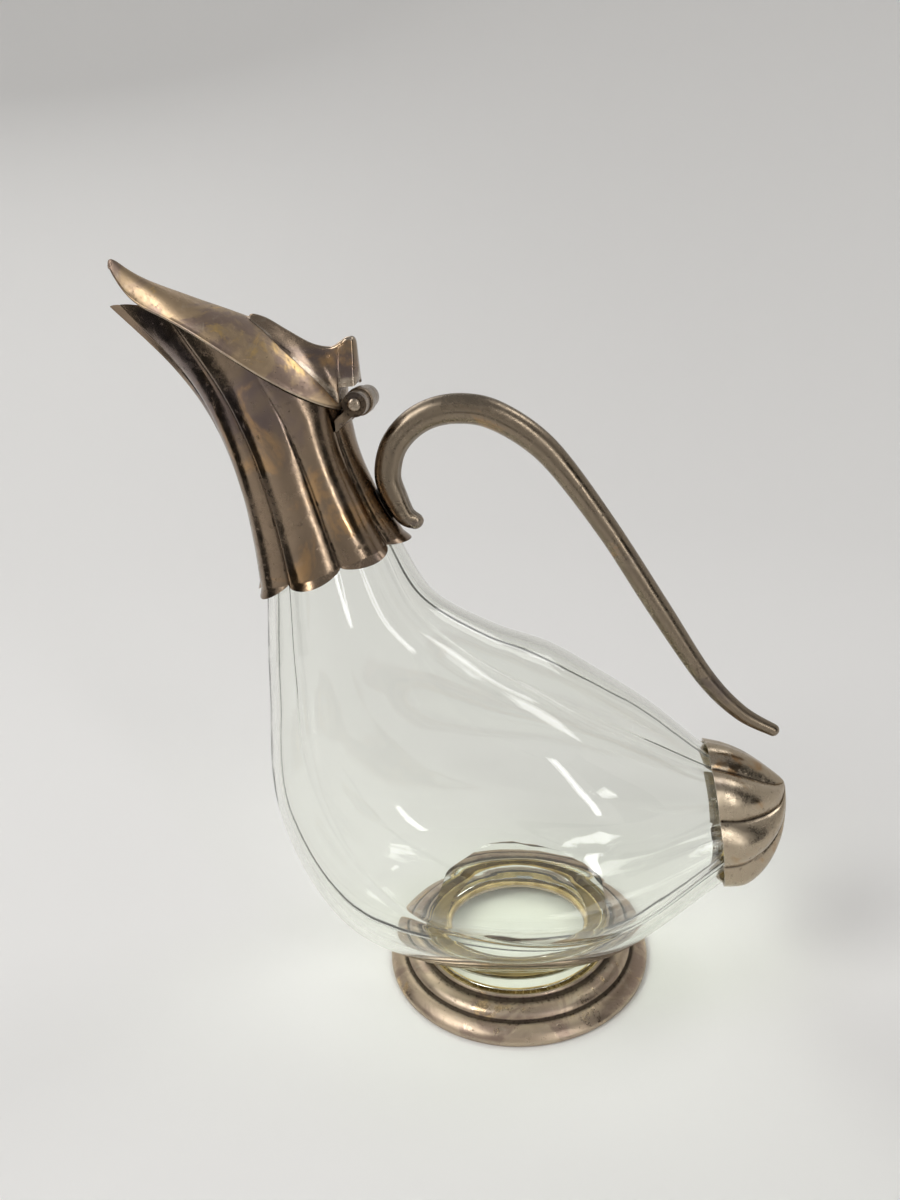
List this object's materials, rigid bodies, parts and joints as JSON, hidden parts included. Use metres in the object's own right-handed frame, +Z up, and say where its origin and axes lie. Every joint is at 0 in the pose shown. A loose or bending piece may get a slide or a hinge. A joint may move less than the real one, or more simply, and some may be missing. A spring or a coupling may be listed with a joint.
{
  "type": "claret jug",
  "caption": "Bird-shaped claret jug with a ribbed glass body, fluted silvered neck, hinged leaf lid with a crest, scroll handle, tail cap and round foot.",
  "frame": {"origin": "on the table under the middle of the jug's length, which is 11.1 mm in front of the foot's centre along -X", "axes": "+Z up, -X towards the spout, +X towards the tail, Y along the hinge pin"},
  "size_m": [0.2082, 0.1086, 0.2511],
  "materials": {
    "glass": "clear, polished, with long ribs",
    "silver": "tarnished silver plate, worn satin with glossy ridges",
    "lid_silver": "tarnished silver plate, mottled golden pink, satin",
    "foot_silver": "tarnished silver plate, mottled, satin",
    "hinge_silver": "dark tarnished silver plate",
    "cement": "pale matt filling"
  },
  "bodies": {
    "jug": {"glass_body": "glass", "foot_ring": "foot_silver", "foot_cement": "cement", "neck_collar": "silver", "collar_cement": "cement", "tail_cap": "silver", "tail_cement": "cement", "hinge_bracket": "hinge_silver", "hinge_pin": "hinge_silver", "handle": "silver", "handle_solder": "hinge_silver"},
    "lid": {"lid": "lid_silver", "lid_crest": "silver", "lid_knuckle": "hinge_silver"}
  },
  "joints": [
    {"name": "lid_hinge", "type": "hinge", "parent": "jug", "child": "lid", "pos_m": [-0.02842, 0, 0.2053], "axis": [0, 1, 0], "range_deg": [0, 75]}
  ]
}
